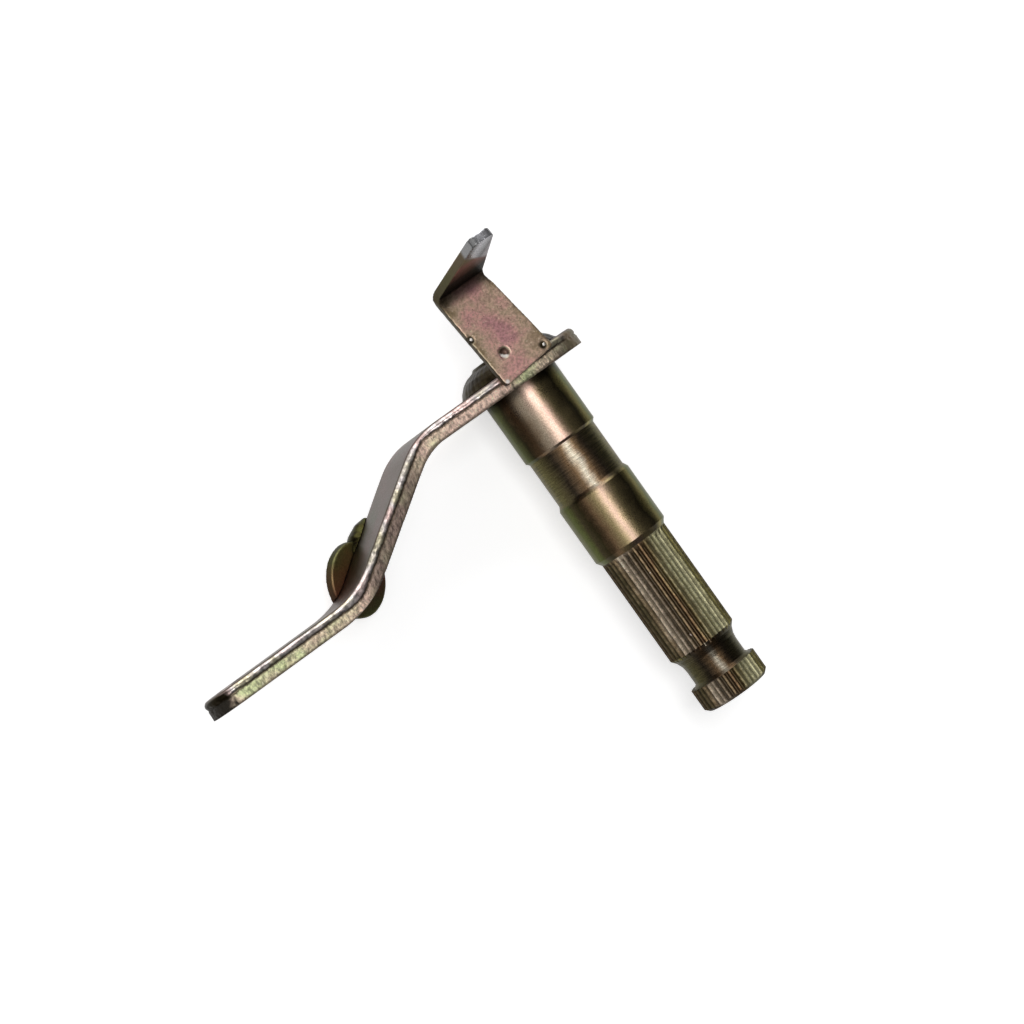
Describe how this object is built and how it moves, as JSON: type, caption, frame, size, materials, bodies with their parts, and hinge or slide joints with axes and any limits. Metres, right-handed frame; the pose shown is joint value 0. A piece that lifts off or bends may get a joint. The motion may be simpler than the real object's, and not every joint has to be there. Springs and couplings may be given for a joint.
{
  "type": "brake pedal pivot spindle with lever",
  "caption": "Serrated pivot spindle for a motorcycle rear brake pedal, with a welded cranked lever that pulls the brake rod and a sheet tab for the stop lamp switch.",
  "frame": {"origin": "on the spindle's axis, in the lever's inner face, where the spindle's shoulder seats", "axes": "+Y along the spindle towards its serrated end, +X from the spindle towards the lever's tip, +Z towards the side that carries the switch tab"},
  "size_m": [0.1097, 0.1054, 0.0503],
  "materials": {
    "zinc_turned": "satin yellow zinc plate over turned steel",
    "zinc_stamped": "yellow zinc plate over stamped steel, rough sheared edge",
    "zinc_sheet": "matt yellow zinc plate over sheet steel",
    "zinc_weld": "yellow zinc plate over a rippled weld bead"
  },
  "bodies": {
    "root": {"spindle": "zinc_turned", "lever_arm": "zinc_stamped", "spindle_weld": "zinc_weld", "switch_tab": "zinc_sheet", "tab_weld": "zinc_weld", "stop_boss": "zinc_turned", "boss_weld": "zinc_weld"}
  },
  "joints": []
}
